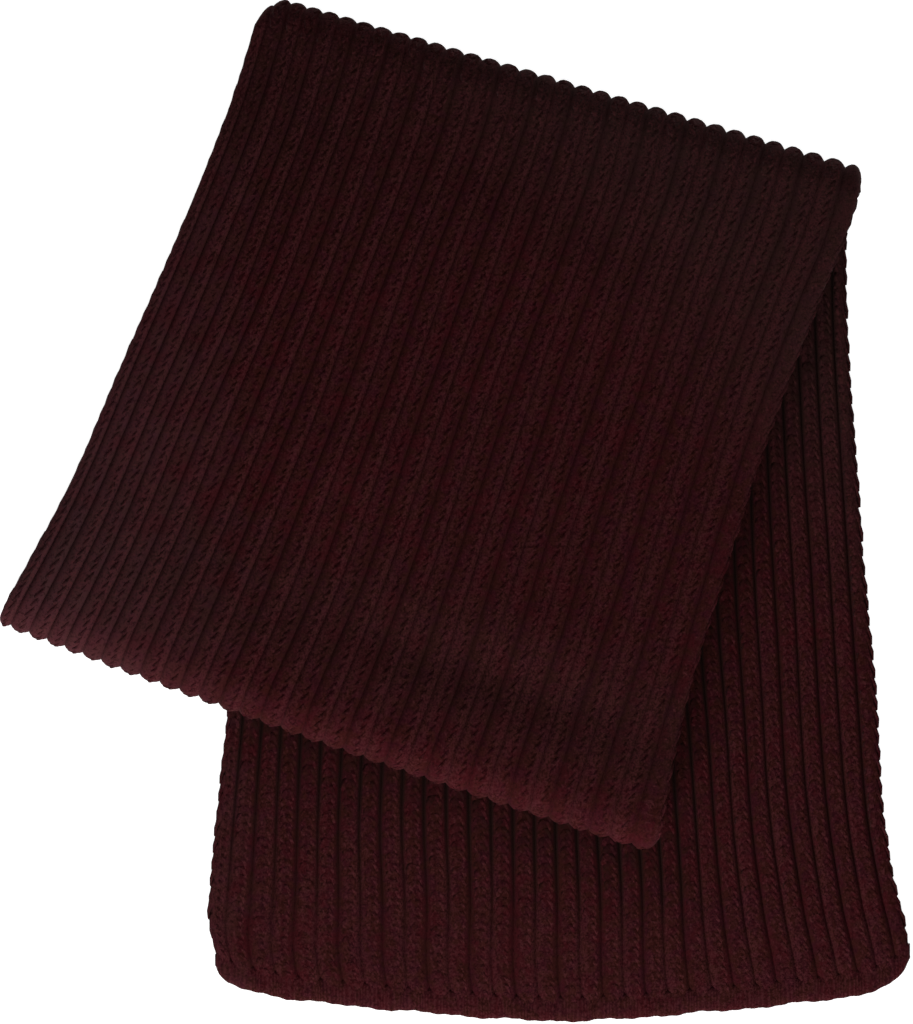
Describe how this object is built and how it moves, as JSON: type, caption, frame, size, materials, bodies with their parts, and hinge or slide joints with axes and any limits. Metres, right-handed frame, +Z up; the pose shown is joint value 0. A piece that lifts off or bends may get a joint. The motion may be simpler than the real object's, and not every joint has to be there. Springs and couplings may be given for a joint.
{
  "type": "folded knit scarf",
  "caption": "Long chunky ribbed scarf folded into a flat bundle that lies across its own lower end, with a smooth band along the hem.",
  "frame": {"origin": "on the surface the scarf lies on, under the middle of its outline seen from above", "axes": "+Z up from the surface, +Y from the hem towards the top fold, +X to the right seen from above with the hem towards the viewer"},
  "size_m": [0.3921, 0.4419, 0.031],
  "materials": {
    "ribbed_knit": "soft brushed wool yarn, marled dark burgundy, in a chunky one by one rib",
    "hem_knit": "the same yarn in a smooth fine band"
  },
  "bodies": {
    "root": {"lower_end": "ribbed_knit", "hem_band": "hem_knit", "top_panel": "ribbed_knit", "hidden_layers": "ribbed_knit"}
  },
  "joints": []
}
